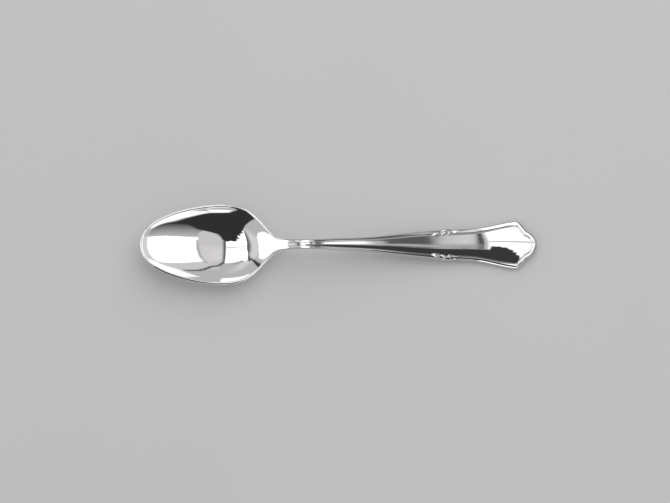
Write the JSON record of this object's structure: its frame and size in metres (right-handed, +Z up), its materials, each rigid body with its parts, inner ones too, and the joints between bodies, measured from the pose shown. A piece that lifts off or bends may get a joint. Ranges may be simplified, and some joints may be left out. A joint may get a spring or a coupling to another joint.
{
  "type": "demitasse spoon",
  "caption": "Small polished silver coffee spoon with an egg-shaped bowl, slim arched stem, raised thread border, struck scrolls and a fan-shaped end.",
  "frame": {"origin": "middle of the bounding box's underside, on the plane that the spoon rests on", "axes": "+X from the bowl towards the end of the handle, +Z up out of the bowl's hollow, +Y to the left of the handle seen from the bowl"},
  "size_m": [0.105, 0.0212, 0.0086],
  "materials": {
    "bowl_silver": "polished silver",
    "handle_silver": "polished silver"
  },
  "bodies": {
    "root": {"bowl": "bowl_silver", "handle": "handle_silver"}
  },
  "joints": []
}
